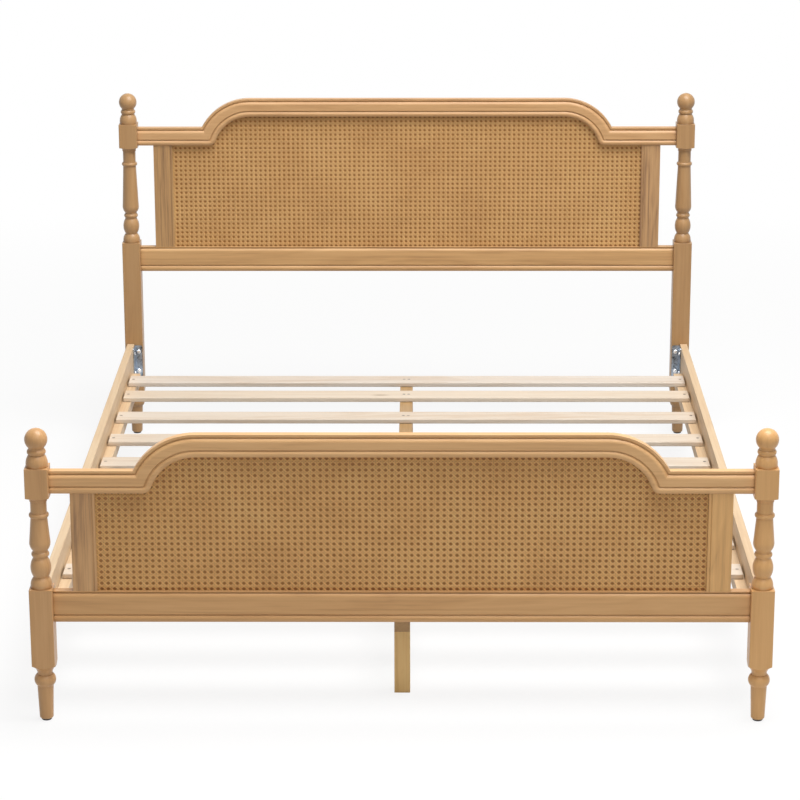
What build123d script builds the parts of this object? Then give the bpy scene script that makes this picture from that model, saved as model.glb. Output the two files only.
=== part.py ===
from build123d import *
import os
from math import sqrt

# A queen-size bed frame with turned posts and cane panels, in millimetres.
# X runs across the bed, +Y runs from the foot to the head, +Z is up and the floor is Z = 0.
# The origin is on the floor under the middle of the bed.

# Layout
post_spacing_x = 1542.0       # between the post axes across the bed
post_spacing_y = 2082.0       # between the post axes along the bed
post_width = 50.0             # the square of the posts
post_edge_round = 2.0         # eased edges of the square

# Turned foot of every post
glide_height = 4.0
glide_radius = 11.0
glide_pin_radius = 2.0
glide_pin_length = 14.0
foot_tip_radius = 12.0
foot_tip_height = 4.0         # height of the rounding at the tip
foot_bottom_radius = 15.0
foot_top_radius = 17.6
foot_length = 76.5            # from the glide up to the foot bead
foot_bead_radius = 23.5
foot_bead_height = 26.0
foot_neck_radius = 16.5
foot_neck_length = 5.5
shoulder_height = 13.0        # from the foot's neck up to the long square
corner_lift = 7.0             # how much higher the square's corners end

# Turned middle of every post, above the long square
dome_radius = 22.6
dome_height = 24.5
neck_radius = 16.2
ball_radius = 22.2            # the lower ball is a little taller than round
ball_height = 42.5
collar_radius = 19.2          # bead between ball and vase
collar_height = 11.5
collar_gap = 3.0              # narrow necks above and below the collar
vase_radius = 22.4
vase_base_height = 20.5       # from the lower neck up to the widest place
vase_top_radius = 17.8
ring_radius = 21.4            # bead on top of the vase
ring_height = 10.5
throat_radius = 17.4
fillet_radius = 18.9          # thin band under the square block
fillet_height = 5.0
block_shoulder = 4.5          # from the thin band up to the square block
block_corner_lift = 2.5
block_height = 67.1           # from that shoulder to the block's top

# Finial
crown_radius = 22.9           # dome on the block
crown_height = 26.9
finial_ring_radius = 20.2
finial_ring_height = 12.0
finial_neck_radius = 17.0
finial_neck_length = 3.6
finial_ball_radius = 24.4

# The two boards
foot_square_top = 305.0       # top of the long square, foot posts
foot_vase_length = 53.5       # from the widest place of the vase up to its ring
foot_throat_length = 31.0     # from the ring up to the block's shoulder
head_square_top = 560.5
head_vase_length = 112.0
head_throat_length = 36.7
rail_thickness = 24.0
rail_lip = 19.0               # depth of the rail's top and bottom edges
top_rail_width = 49.5
bottom_rail_width = 69.5
foot_top_rail_drop = 8.6      # rail's low top edge below the block's top
head_top_rail_drop = 11.0
foot_bottom_rail_top = 297.8
head_bottom_rail_top = 546.8
arch_rise = 80.4
arch_radius = 150.0
arch_flat = 870.0             # straight length of the raised middle
inner_corner_radius = 20.0    # rounding where the inner edge turns up

# Moulding of the rails
lip_step = 2.5                # how far the moulding steps back below the square lip
ovolo_width = 10.0             # rounded part from the step to the flat field
ovolo_bulge = 1.9
field_setback = 1.5           # the flat field lies behind the bead's crest
groove_width = 3.0            # groove between the field and the bead
groove_depth = 2.5
bead_lip = 1.0                # square edge under the bead
top_bead_width = 13.0
top_lip_width = 4.5           # square lip along the upper edge of a top rail
top_quirk_width = 3.5         # height of the step below that lip
bottom_bead_width = 14.5
bottom_lip_width = 2.0
bottom_quirk_width = 2.5

# Stiles
stile_gap = 43.0              # open gap between post and stile
stile_width = 52.0
stile_thickness = 18.0
stile_setback = 1.0           # from the rail's back face
stile_bead_width = 6.5
stile_groove = 1.5

# Cane panels
panel_groove_depth = 8.0
panel_fit = 0.3               # clearance at the panel's edges in the groove
panel_back_lip = 4.0          # wood behind the panel groove
backing_thickness = 5.8
cane_thickness = 2.2

# Dowels
dowel_radius = 4.0
dowel_length = 48.0
dowel_end_gap = 1.0
fit_gap = 0.1                 # clearance round dowels, bolts and screws
rail_dowel_edge = 13.0        # upper dowel's axis to the rail's upper edge
rail_dowel_spacing = 22.5
stile_dowel_spacing = 22.0
stile_dowel_shift = 3.0       # dowels sit towards the stile's outer edge

# Side rails and ledgers
side_rail_thickness = 20.0
side_rail_height = 100.0
side_rail_top = 269.0
side_rail_inset = 6.0         # from the post's outer face
side_rail_round = 1.5
ledger_width = 25.0
ledger_height = 28.0
ledger_end_gap = 95.0         # from the post's face
ledger_screws_per_side = 6
ledger_screw_length = 37.0
ledger_screw_end = 60.0       # from the ledger's end to its first screw

# Angle brackets
bracket_height = 92.0
bracket_thickness = 2.5
bracket_post_leg = 22.5
bracket_rail_leg = 35.0
bracket_round = 4.0
bolt_spacing = 56.0
bolt_radius = 3.0
bolt_length = 34.0
bolt_head_radius = 6.0
bolt_head_height = 4.0
bolt_from_rail = 12.0         # bolt axis to the side rail's inner face
bracket_screw_from_post = 22.0
bracket_screw_radius = 2.5
bracket_screw_length = 16.0
bracket_screw_head_radius = 4.5
bracket_screw_head_height = 3.0
insert_radius = 5.5
insert_length = 20.0
insert_depth = 8.0            # from the post's face to the insert

# Deck
slat_count = 10
slat_width = 70.0
slat_thickness = 12.0
slat_top = 222.0
slat_end_gap = 5.0            # to the side rail
slat_round = 2.0
first_slat_front = 253.0      # front edge of the first slat, from the head posts' axis
second_slat_front = 397.0
slat_pitch = 197.0
screw_radius = 2.0
screw_head_radius = 4.0
slat_screw_length = 34.0
slat_screw_end = 10.0         # from the slat's end
center_screw_spacing = 13.0

# Centre beam and legs
beam_width = 34.0
beam_height = 50.0
leg_width = 35.0
leg_edge_round = 1.5
leg_inset = 40.5              # from the end of the beam
hanger_radius = 4.0
hanger_length = 60.0
hanger_end_gap = 1.0

# Values worked out from the sizes above
half_x = post_spacing_x / 2
half_y = post_spacing_y / 2
half_post = post_width / 2
corner_reach = half_post * sqrt(2) + 1.0
rail_back = rail_thickness / 2
rail_end = half_x - half_post
stile_outer = rail_end - stile_gap
stile_inner = stile_outer - stile_width
stile_mid = (stile_outer + stile_inner) / 2
rail_outer_x = half_x + half_post - side_rail_inset
rail_inner_x = rail_outer_x - side_rail_thickness
bracket_mid = side_rail_top - side_rail_height / 2
slat_bottom = slat_top - slat_thickness
slat_length = 2 * (rail_inner_x - slat_end_gap)
beam_bottom = slat_bottom - beam_height
side_rail_reach = half_y - half_post
sides = {"left": -1, "right": 1}
boards = {"head": 1, "foot": -1}


def slat_front(index):
    """Distance from the head posts' axis to the front edge of a slat, counted from 0."""
    if index == 0:
        return first_slat_front
    return second_slat_front + (index - 1) * slat_pitch


def finish(builder, label):
    """Label a finished piece and write its file."""
    builder.part.label = label
    export_step(builder.part, f"parts/{label}.step")


def arc_through(start, end, bulge):
    """An arc from start to end that stands off its chord by bulge, to the right of the way."""
    run = (end[0] - start[0], end[1] - start[1])
    length = sqrt(run[0] ** 2 + run[1] ** 2)
    middle_x = (start[0] + end[0]) / 2 + run[1] / length * bulge
    middle_y = (start[1] + end[1]) / 2 - run[0] / length * bulge
    return ThreePointArc(start, (middle_x, middle_y), end)


def bead(radius, neck, bottom, height):
    """The outline of a turned bead between two necks."""
    return ThreePointArc((neck, bottom), (radius, bottom + height / 2), (neck, bottom + height))


def board_sizes(board):
    """The sizes in which the headboard and the footboard differ."""
    if board == "head":
        turning = (head_square_top, head_vase_length, head_throat_length)
        return (*turning, head_bottom_rail_top, head_top_rail_drop)
    turning = (foot_square_top, foot_vase_length, foot_throat_length)
    return (*turning, foot_bottom_rail_top, foot_top_rail_drop)


def post_levels(board):
    """Heights along a post, worked out from the bottom of the vase upwards."""
    square_top, vase_length, throat_length, _, _ = board_sizes(board)
    levels = {"square_top": square_top}
    levels["ball_bottom"] = square_top + dome_height
    levels["collar_bottom"] = levels["ball_bottom"] + ball_height + collar_gap
    levels["vase_bottom"] = levels["collar_bottom"] + collar_height + collar_gap
    levels["vase_wide"] = levels["vase_bottom"] + vase_base_height
    levels["ring_bottom"] = levels["vase_wide"] + vase_length
    levels["throat_bottom"] = levels["ring_bottom"] + ring_height
    levels["fillet_bottom"] = levels["throat_bottom"] + throat_length - fillet_height
    levels["shoulder_bottom"] = levels["throat_bottom"] + throat_length
    levels["block_top"] = levels["shoulder_bottom"] + block_shoulder + block_height
    levels["crown_top"] = levels["block_top"] + crown_height
    neck_drop = sqrt(finial_ball_radius ** 2 - finial_neck_radius ** 2)
    levels["finial_neck"] = levels["crown_top"] + finial_ring_height + finial_neck_length
    levels["finial_center"] = levels["finial_neck"] + neck_drop
    levels["top"] = levels["finial_center"] + finial_ball_radius
    return levels


def rail_low_top(board):
    """Height of the upper edge of the top rail beside the posts."""
    return post_levels(board)["block_top"] - board_sizes(board)[4]


def rail_dowel_heights(board):
    """Heights of the dowels that join the two rails of a board to its posts."""
    top_edge = rail_low_top(board)
    low_edge = board_sizes(board)[3]
    steps = (rail_dowel_edge, rail_dowel_edge + rail_dowel_spacing)
    return [edge - step for edge in (top_edge, low_edge) for step in steps]


def bolt_heights():
    return [bracket_mid - bolt_spacing / 2, bracket_mid + bolt_spacing / 2]


def turned_outline(levels):
    """Outline of the round parts of a post, from the foot's tip up to the finial."""
    foot_top = glide_height + foot_length
    bead_top = foot_top + foot_bead_height
    neck_top = bead_top + foot_neck_length
    tip_top = glide_height + foot_tip_height
    ring_neck = finial_neck_radius
    Line((0, glide_height), (foot_tip_radius, glide_height))
    arc_through((foot_tip_radius, glide_height), (foot_bottom_radius, tip_top), 0.8)
    Line((foot_bottom_radius, tip_top), (foot_top_radius, foot_top))
    bead(foot_bead_radius, foot_top_radius, foot_top, foot_bead_height)
    Line((foot_top_radius, bead_top), (foot_neck_radius, bead_top))
    Line((foot_neck_radius, bead_top), (foot_neck_radius, neck_top))
    Line((foot_neck_radius, neck_top), (neck_radius, neck_top + shoulder_height))
    Line((neck_radius, neck_top + shoulder_height), (neck_radius, levels["square_top"]))
    Line((neck_radius, levels["square_top"]), (dome_radius, levels["square_top"]))
    arc_through((dome_radius, levels["square_top"]), (neck_radius, levels["ball_bottom"]), 3.2)
    bead(ball_radius, neck_radius, levels["ball_bottom"], ball_height)
    ball_top = levels["ball_bottom"] + ball_height
    Line((neck_radius, ball_top), (neck_radius, levels["collar_bottom"]))
    bead(collar_radius, neck_radius, levels["collar_bottom"], collar_height)
    collar_top = levels["collar_bottom"] + collar_height
    Line((neck_radius, collar_top), (neck_radius, levels["vase_bottom"]))
    arc_through((neck_radius, levels["vase_bottom"]), (vase_radius, levels["vase_wide"]), 2.4)
    Line((vase_radius, levels["vase_wide"]), (vase_top_radius, levels["ring_bottom"]))
    bead(ring_radius, vase_top_radius, levels["ring_bottom"], ring_height)
    Line((vase_top_radius, levels["throat_bottom"]), (throat_radius, levels["throat_bottom"]))
    Line((throat_radius, levels["throat_bottom"]), (throat_radius, levels["fillet_bottom"]))
    Line((throat_radius, levels["fillet_bottom"]), (fillet_radius, levels["fillet_bottom"]))
    Line((fillet_radius, levels["fillet_bottom"]), (fillet_radius, levels["block_top"]))
    Line((fillet_radius, levels["block_top"]), (crown_radius, levels["block_top"]))
    arc_through((crown_radius, levels["block_top"]), (ring_neck, levels["crown_top"]), 3.0)
    bead(finial_ring_radius, ring_neck, levels["crown_top"], finial_ring_height)
    ring_top = levels["crown_top"] + finial_ring_height
    Line((ring_neck, ring_top), (finial_neck_radius, levels["finial_neck"]))
    ThreePointArc(
        (finial_neck_radius, levels["finial_neck"]),
        (finial_ball_radius, levels["finial_center"]),
        (0, levels["top"]),
    )
    Line((0, levels["top"]), (0, glide_height))


def shoulder_outline(bottom, neck, height, lift, top):
    """Outline that trims the lower end of a square section to a turned shoulder."""
    edge = (half_post, bottom + height)
    corner = (corner_reach, bottom + height + lift)
    Line((0, bottom), (neck, bottom))
    arc_through((neck, bottom), edge, -1.2)
    Line(edge, corner)
    Line(corner, (corner_reach, top))
    Line((corner_reach, top), (0, top))
    Line((0, top), (0, bottom))


def build_post(board, side):
    """One post: square where the rails meet it, turned everywhere else."""
    levels = post_levels(board)
    post_x = sides[side] * half_x
    post_y = boards[board] * half_y
    front = Plane((post_x, post_y, 0), x_dir=(1, 0, 0), z_dir=(0, -1, 0))
    axis = Axis((post_x, post_y, 0), (0, 0, 1))
    foot_neck_top = glide_height + foot_length + foot_bead_height + foot_neck_length
    squares = [
        (foot_neck_top, foot_neck_radius, shoulder_height, corner_lift, levels["square_top"]),
        (
            levels["shoulder_bottom"],
            fillet_radius,
            block_shoulder,
            block_corner_lift,
            levels["block_top"],
        ),
    ]
    with BuildPart() as post:
        for bottom, _, _, _, top in squares:
            with BuildSketch(Plane((post_x, post_y, bottom))):
                RectangleRounded(post_width, post_width, post_edge_round)
            extrude(amount=top - bottom)
        with BuildSketch(front):
            for square in squares:
                with BuildLine():
                    shoulder_outline(*square)
                make_face()
        revolve(axis=axis, mode=Mode.INTERSECT)
        with BuildSketch(front):
            with BuildLine():
                turned_outline(levels)
            make_face()
        revolve(axis=axis)
        inner_face = Plane(
            (post_x - sides[side] * half_post, post_y, 0), x_dir=(0, 1, 0), z_dir=(-sides[side], 0, 0)
        )
        up = inner_face.y_dir.Z
        cut_dowel_holes(inner_face, [(0, up * z) for z in rail_dowel_heights(board)])
        bolt_x = sides[side] * (rail_inner_x - bolt_from_rail)
        toward_bed = Plane(
            (bolt_x, post_y - boards[board] * half_post, 0), x_dir=(1, 0, 0), z_dir=(0, -boards[board], 0)
        )
        up = toward_bed.y_dir.Z
        with Locations(toward_bed):
            with Locations([(0, up * z) for z in bolt_heights()]):
                Hole(bolt_radius + fit_gap, bolt_length + dowel_end_gap)
                Hole(insert_radius + fit_gap, insert_depth + insert_length)
        with Locations(Plane((post_x, post_y, glide_height), z_dir=(0, 0, -1))):
            Hole(glide_pin_radius + fit_gap, glide_pin_length + dowel_end_gap)
    finish(post, f"{board}_post_{side}")


def groove_edges(width, bead_width):
    """Distances from a rail's upper edge to the start and the end of its groove."""
    groove_end = width - bead_lip - bead_width
    return groove_end - groove_width, groove_end


def field_outline(width, bead_width, lip_width, quirk_width):
    """Upper part of a rail's cross-section: x is depth from the back, y is down from the top."""
    groove_start, groove_end = groove_edges(width, bead_width)
    field = rail_thickness - field_setback
    groove_floor = field - groove_depth
    step_floor = rail_lip - lip_step
    ovolo_start = lip_width + quirk_width
    ovolo_end = ovolo_start + ovolo_width
    Line((0, 0), (rail_lip, 0))
    Line((rail_lip, 0), (rail_lip, lip_width))
    Line((rail_lip, lip_width), (step_floor, ovolo_start))
    arc_through((step_floor, ovolo_start), (field, ovolo_end), ovolo_bulge)
    Line((field, ovolo_end), (field, groove_start))
    Line((field, groove_start), (groove_floor, groove_end - 1.0))
    Line((groove_floor, groove_end - 1.0), (groove_floor, groove_end + 2.0))
    Line((groove_floor, groove_end + 2.0), (0, groove_end + 2.0))
    Line((0, groove_end + 2.0), (0, 0))


def bead_outline(width, bead_width):
    """Lower part of a rail's cross-section, with the half-round bead."""
    _, groove_end = groove_edges(width, bead_width)
    bead_end = width - bead_lip
    groove_floor = rail_thickness - field_setback - groove_depth
    Line((0, groove_end - 1.0), (groove_floor, groove_end - 1.0))
    Line((groove_floor, groove_end - 1.0), (groove_floor, groove_end))
    ThreePointArc(
        (groove_floor, groove_end),
        (rail_thickness, (groove_end + bead_end) / 2),
        (groove_floor, bead_end),
    )
    Line((groove_floor, bead_end), (groove_floor, width))
    Line((groove_floor, width), (0, width))
    Line((0, width), (0, groove_end - 1.0))


def arch_points(board, offset):
    """Points of the line that runs at a distance below the upper edge of a top rail."""
    low = rail_low_top(board) - offset
    radius = arch_radius - offset
    center = (-arch_flat / 2, rail_low_top(board) + arch_rise - arch_radius)
    return low, radius, center


def mitre_points(board, first, last):
    """Control points of the curve on which the straight and the curved moulding meet.

    The curve is a parabola, because each of its points lies equally far below the straight
    edge and inside the arch. It runs between two distances below the rail's upper edge.
    """
    ends = []
    for offset in (first, last):
        low, radius, center = arch_points(board, offset)
        ends.append((center[0] - sqrt(radius ** 2 - (low - center[1]) ** 2), low))
    start, end = ends
    steepness = center[1] - (low - radius)
    slope = (start[0] - center[0]) / steepness
    middle = ((start[0] + end[0]) / 2, start[1] + slope * (end[0] - start[0]) / 2)
    return start, middle, end


def lower_arch_half(board, side, reach):
    """Half of a top rail's lower edge, from a side inwards, rounded where it turns up."""
    low, radius, center = arch_points(board, top_rail_width)
    turn = inner_corner_radius
    turn_center = (center[0] - sqrt((radius + turn) ** 2 - (low + turn - center[1]) ** 2), low + turn)
    share = radius / (radius + turn)
    touch = (
        center[0] + (turn_center[0] - center[0]) * share,
        center[1] + (turn_center[1] - center[1]) * share,
    )
    turn_start = (turn_center[0], low)
    turn_middle = middle_of_arc(turn_center, turn, turn_start, touch)
    arch_end = (center[0], center[1] + radius)
    arch_middle = middle_of_arc(center, radius, touch, arch_end)
    places = [(-reach, low), turn_start, turn_middle, touch, arch_middle, arch_end, (0, arch_end[1])]
    start, turn_start, turn_middle, touch, arch_middle, arch_end, end = [
        (-side * x, z) for x, z in places
    ]
    Line(start, turn_start)
    ThreePointArc(turn_start, turn_middle, touch)
    ThreePointArc(touch, arch_middle, arch_end)
    Line(arch_end, end)


def middle_of_arc(center, radius, start, end):
    """The point halfway along the shorter arc from start to end."""
    way_x = (start[0] + end[0]) / 2 - center[0]
    way_y = (start[1] + end[1]) / 2 - center[1]
    length = sqrt(way_x ** 2 + way_y ** 2)
    return center[0] + way_x / length * radius, center[1] + way_y / length * radius


def board_plane(board):
    """Front view of a board, through the axes of its posts."""
    return Plane((0, boards[board] * half_y, 0), x_dir=(1, 0, 0), z_dir=(0, -1, 0))


def panel_outline(board):
    """Outline of the opening between the rails and stiles of a board."""
    low = rail_low_top(board) - top_rail_width
    bottom = board_sizes(board)[3]
    for sign in sides.values():
        lower_arch_half(board, sign, stile_inner)
    Line((-stile_inner, low), (-stile_inner, bottom))
    Line((-stile_inner, bottom), (stile_inner, bottom))
    Line((stile_inner, bottom), (stile_inner, low))


def panel_space(board):
    """The space that the panel takes up, with the grooves that hold its edges."""
    with BuildPart() as space:
        with BuildSketch(board_plane(board).offset(panel_back_lip - rail_back)):
            with BuildLine():
                panel_outline(board)
            make_face()
            offset(amount=panel_groove_depth, kind=Kind.INTERSECTION)
        extrude(amount=backing_thickness + cane_thickness)
    return space.part


def cut_dowel_holes(plane, places):
    """Cut blind dowel holes into the face that a plane lies on."""
    with Locations(plane):
        with Locations(places):
            Hole(dowel_radius + fit_gap, dowel_length / 2 + dowel_end_gap)


def stile_dowel_places(side):
    """X positions of the two dowels at each end of a stile."""
    shift = stile_mid + stile_dowel_shift
    return [sides[side] * (shift + step * stile_dowel_spacing / 2) for step in (-1, 1)]


def stile_mid_y(board):
    """Y of the middle of the stiles' thickness."""
    return boards[board] * half_y + rail_back - stile_setback - stile_thickness / 2


def cut_rail_holes(board, heights, stile_edge, stile_up):
    """Cut the dowel holes at both ends of a rail and where the stiles meet its edge."""
    board_y = boards[board] * half_y
    for side, sign in sides.items():
        end_plane = Plane((sign * rail_end, board_y, 0), x_dir=(0, 1, 0), z_dir=(sign, 0, 0))
        cut_dowel_holes(end_plane, [(0, end_plane.y_dir.Z * z) for z in heights])
        edge_plane = Plane((0, stile_mid_y(board), stile_edge), x_dir=(1, 0, 0), z_dir=(0, 0, stile_up))
        cut_dowel_holes(edge_plane, [(x, 0) for x in stile_dowel_places(side)])


def profile_plane(board, x, height):
    """Plane across a rail that faces +X: its x runs towards the front, its y runs downwards."""
    back_y = boards[board] * half_y + rail_back
    return Plane((x, back_y, height), x_dir=(0, -1, 0), z_dir=(1, 0, 0))


def half_top_moulding(board):
    """Left half of a top rail above its bead, mitred where the raised middle begins."""
    sizes = (top_rail_width, top_bead_width, top_lip_width, top_quirk_width)
    low, _, center = arch_points(board, 0)
    top = low + arch_rise
    above, halfway, below = mitre_points(board, -6, top_rail_width - 6)
    with BuildPart() as low_part:
        with BuildSketch(profile_plane(board, -rail_end, low)):
            with BuildLine():
                field_outline(*sizes)
            make_face()
        extrude(amount=rail_end + center[0])
        with BuildSketch(board_plane(board)):
            with BuildLine():
                Bezier(above, halfway, below)
                Line(below, (-rail_end, below[1]))
                Line((-rail_end, below[1]), (-rail_end, above[1]))
                Line((-rail_end, above[1]), above)
            make_face()
        extrude(amount=rail_thickness, both=True, mode=Mode.INTERSECT)
    with BuildPart() as curved_part:
        with BuildSketch(profile_plane(board, center[0], top)):
            with BuildLine():
                field_outline(*sizes)
            make_face()
        revolve(
            axis=Axis((center[0], boards[board] * half_y, center[1]), (0, -1, 0)),
            revolution_arc=85,
        )
        with BuildSketch(board_plane(board)):
            with BuildLine():
                Bezier(above, halfway, below)
                Line(below, (center[0], below[1]))
                Line((center[0], below[1]), (center[0], top))
                Line((center[0], top), (above[0], top))
                Line((above[0], top), above)
            make_face()
        extrude(amount=rail_thickness, both=True, mode=Mode.INTERSECT)
    with BuildPart() as half:
        with BuildSketch(profile_plane(board, center[0], top)):
            with BuildLine():
                field_outline(*sizes)
            make_face()
        extrude(amount=-center[0])
        add(low_part.part)
        add(curved_part.part)
    return half.part


def build_top_rail(board):
    """Top rail with the raised middle and a bead that follows its lower edge."""
    low = rail_low_top(board)
    with BuildPart() as top_rail:
        with BuildLine(board_plane(board).offset(-rail_back)) as lower:
            lower_arch_half(board, -1, rail_end)
        with BuildSketch(profile_plane(board, -rail_end, low)):
            with BuildLine():
                bead_outline(top_rail_width, top_bead_width)
            make_face()
        sweep(path=lower.wire())
        add(half_top_moulding(board))
        mirror(about=Plane.YZ)
        add(panel_spaces[board], mode=Mode.SUBTRACT)
        cut_rail_holes(board, rail_dowel_heights(board)[:2], low - top_rail_width, -1)
    finish(top_rail, f"{board}_top_rail")


def build_bottom_rail(board):
    """Straight bottom rail with the same moulding."""
    top = board_sizes(board)[3]
    with BuildPart() as bottom_rail:
        with BuildSketch(profile_plane(board, -rail_end, top)):
            with BuildLine():
                field_outline(
                    bottom_rail_width, bottom_bead_width, bottom_lip_width, bottom_quirk_width
                )
            make_face()
            with BuildLine():
                bead_outline(bottom_rail_width, bottom_bead_width)
            make_face()
        extrude(amount=2 * rail_end)
        add(panel_spaces[board], mode=Mode.SUBTRACT)
        cut_rail_holes(board, rail_dowel_heights(board)[2:], top, 1)
    finish(bottom_rail, f"{board}_bottom_rail")


def build_stile(board, side):
    """Upright between the rails, with a small bead along the cane."""
    low = rail_low_top(board) - top_rail_width
    bottom = board_sizes(board)[3]
    sign = sides[side]
    back = boards[board] * half_y + rail_back - stile_setback
    front = back - stile_thickness
    bead_edge = stile_inner + stile_bead_width
    groove_edge = bead_edge + stile_groove
    with BuildPart() as stile:
        with BuildSketch(Plane.XY.offset(bottom)):
            with BuildLine():
                Line((sign * stile_outer, back), (sign * stile_outer, front))
                Line((sign * stile_outer, front), (sign * groove_edge, front))
                Line((sign * groove_edge, front), (sign * bead_edge, front + stile_groove))
                ThreePointArc(
                    (sign * bead_edge, front + stile_groove),
                    (sign * (stile_inner + stile_bead_width / 2), front),
                    (sign * stile_inner, front + stile_groove),
                )
                Line((sign * stile_inner, front + stile_groove), (sign * stile_inner, back))
                Line((sign * stile_inner, back), (sign * stile_outer, back))
            make_face()
        extrude(amount=low - bottom)
        add(panel_spaces[board], mode=Mode.SUBTRACT)
        places = [(x, 0) for x in stile_dowel_places(side)]
        for height, up in ((bottom, -1), (low, 1)):
            plane = Plane((0, stile_mid_y(board), height), x_dir=(1, 0, 0), z_dir=(0, 0, up))
            cut_dowel_holes(plane, places)
    finish(stile, f"{board}_stile_{side}")


def build_panel(board):
    """Cane sheet and the backing board behind it."""
    start = panel_back_lip - rail_back
    layers = (
        ("backing_board", start, backing_thickness),
        ("cane_panel", start + backing_thickness, cane_thickness),
    )
    for label, depth, thickness in layers:
        with BuildPart() as sheet:
            with BuildSketch(board_plane(board).offset(depth)):
                with BuildLine():
                    panel_outline(board)
                make_face()
                offset(amount=panel_groove_depth - panel_fit, kind=Kind.INTERSECTION)
            extrude(amount=thickness)
        finish(sheet, f"{board}_{label}")


def build_dowels(board):
    """Dowels between posts and rails, and between stiles and rails."""
    board_y = boards[board] * half_y
    low = rail_low_top(board) - top_rail_width
    bottom = board_sizes(board)[3]
    with BuildPart() as dowels:
        for side, sign in sides.items():
            for height in rail_dowel_heights(board):
                with Locations(Location((sign * rail_end, board_y, height), (0, 90, 0))):
                    Cylinder(dowel_radius, dowel_length)
            for x in stile_dowel_places(side):
                for height in (bottom, low):
                    with Locations((x, stile_mid_y(board), height)):
                        Cylinder(dowel_radius, dowel_length)
    finish(dowels, f"{board}_dowels")


def build_side(side):
    """One side rail with its ledger strip."""
    sign = sides[side]
    middle_x = sign * (rail_outer_x + rail_inner_x) / 2
    ledger_x = sign * (rail_inner_x - ledger_width / 2)
    ledger_length = 2 * (side_rail_reach - ledger_end_gap)
    with BuildPart() as side_rail:
        with BuildSketch(Plane.XZ.offset(-side_rail_reach)):
            with Locations((middle_x, bracket_mid)):
                RectangleRounded(side_rail_thickness, side_rail_height, side_rail_round)
        extrude(amount=2 * side_rail_reach)
        inner_face = Plane((sign * rail_inner_x, 0, 0), x_dir=(0, 1, 0), z_dir=(-sign, 0, 0))
        up = inner_face.y_dir.Z
        with Locations(inner_face):
            with Locations([(y, up * z) for y, z in bracket_screw_places()]):
                Hole(bracket_screw_radius + fit_gap, bracket_screw_length)
            with Locations([(y, up * ledger_mid_z()) for y in ledger_screw_places()]):
                Hole(screw_radius + fit_gap, ledger_screw_length - ledger_width + dowel_end_gap)
    finish(side_rail, f"side_rail_{side}")
    with BuildPart() as ledger:
        with Locations((ledger_x, 0, ledger_mid_z())):
            Box(ledger_width, ledger_length, ledger_height)
        bed_face = Plane((ledger_x - sign * ledger_width / 2, 0, 0), x_dir=(0, 1, 0), z_dir=(-sign, 0, 0))
        up = bed_face.y_dir.Z
        with Locations(bed_face):
            with Locations([(y, up * ledger_mid_z()) for y in ledger_screw_places()]):
                CounterSinkHole(screw_radius + fit_gap, screw_head_radius + fit_gap, None, 90)
        with Locations(Plane.XY.offset(slat_bottom)):
            with Locations([(sign * slat_end_screw_x(), y) for y in slat_middles()]):
                Hole(screw_radius + fit_gap, slat_screw_length - slat_thickness + dowel_end_gap)
    finish(ledger, f"ledger_{side}")


def ledger_mid_z():
    return slat_bottom - ledger_height / 2


def ledger_screw_places():
    """Y positions of the screws that hold a ledger to its side rail."""
    reach = side_rail_reach - ledger_end_gap - ledger_screw_end
    step = 2 * reach / (ledger_screws_per_side - 1)
    return [-reach + index * step for index in range(ledger_screws_per_side)]


def bracket_screw_places():
    """Y and Z of the bracket screws in a side rail."""
    y = side_rail_reach - bracket_screw_from_post
    return [(end * y, z) for end in (-1, 1) for z in bolt_heights()]


def slat_middles():
    return [half_y - slat_front(index) + slat_width / 2 for index in range(slat_count)]


def slat_end_screw_x():
    return slat_length / 2 - slat_screw_end


def build_bracket(board, side):
    """Angle bracket: one leg on the post's face, the other on the side rail's inner face."""
    sign = sides[side]
    end = boards[board]
    corner_x = sign * rail_inner_x
    corner_y = end * side_rail_reach
    post_face = Plane((corner_x, corner_y, 0), x_dir=(-sign, 0, 0), z_dir=(0, -end, 0))
    rail_face = Plane((corner_x, corner_y, 0), x_dir=(0, -end, 0), z_dir=(-sign, 0, 0))
    legs = (
        (post_face, bracket_post_leg, bolt_from_rail, bolt_radius),
        (rail_face, bracket_rail_leg, bracket_screw_from_post, bracket_screw_radius),
    )
    with BuildPart() as bracket:
        for plane, reach, hole_reach, hole_radius in legs:
            up = plane.y_dir.Z
            with BuildSketch(plane):
                with Locations((reach / 2, up * bracket_mid)):
                    Rectangle(reach, bracket_height)
                fillet(vertices().sort_by(Axis.X)[-2:], radius=bracket_round)
                with Locations([(hole_reach, up * z) for z in bolt_heights()]):
                    Circle(hole_radius + fit_gap, mode=Mode.SUBTRACT)
            extrude(amount=bracket_thickness)
    finish(bracket, f"bracket_{board}_{side}")


def fastener_outline(radius, length, head_radius, head_height):
    """Half outline of a bolt or screw with a round head, head upwards, from its bearing face."""
    Line((0, -length), (radius, -length))
    Line((radius, -length), (radius, 0))
    Line((radius, 0), (head_radius, 0))
    Line((head_radius, 0), (head_radius, head_height * 0.5))
    Line((head_radius, head_height * 0.5), (head_radius * 0.7, head_height))
    Line((head_radius * 0.7, head_height), (0, head_height))
    Line((0, head_height), (0, -length))


def countersunk_outline(radius, length, head_radius):
    """Half outline of a countersunk screw whose head lies flush with the surface at 0."""
    Line((0, -length), (radius, -length))
    Line((radius, -length), (radius, radius - head_radius))
    Line((radius, radius - head_radius), (head_radius, 0))
    Line((head_radius, 0), (0, 0))
    Line((0, 0), (0, -length))


def single_fastener(outline, sizes):
    """One bolt or screw that stands on the origin with its head up."""
    with BuildPart() as fastener:
        with BuildSketch(Plane.XZ):
            with BuildLine():
                outline(*sizes)
            make_face()
        revolve(axis=Axis.Z)
    return fastener.part


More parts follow.
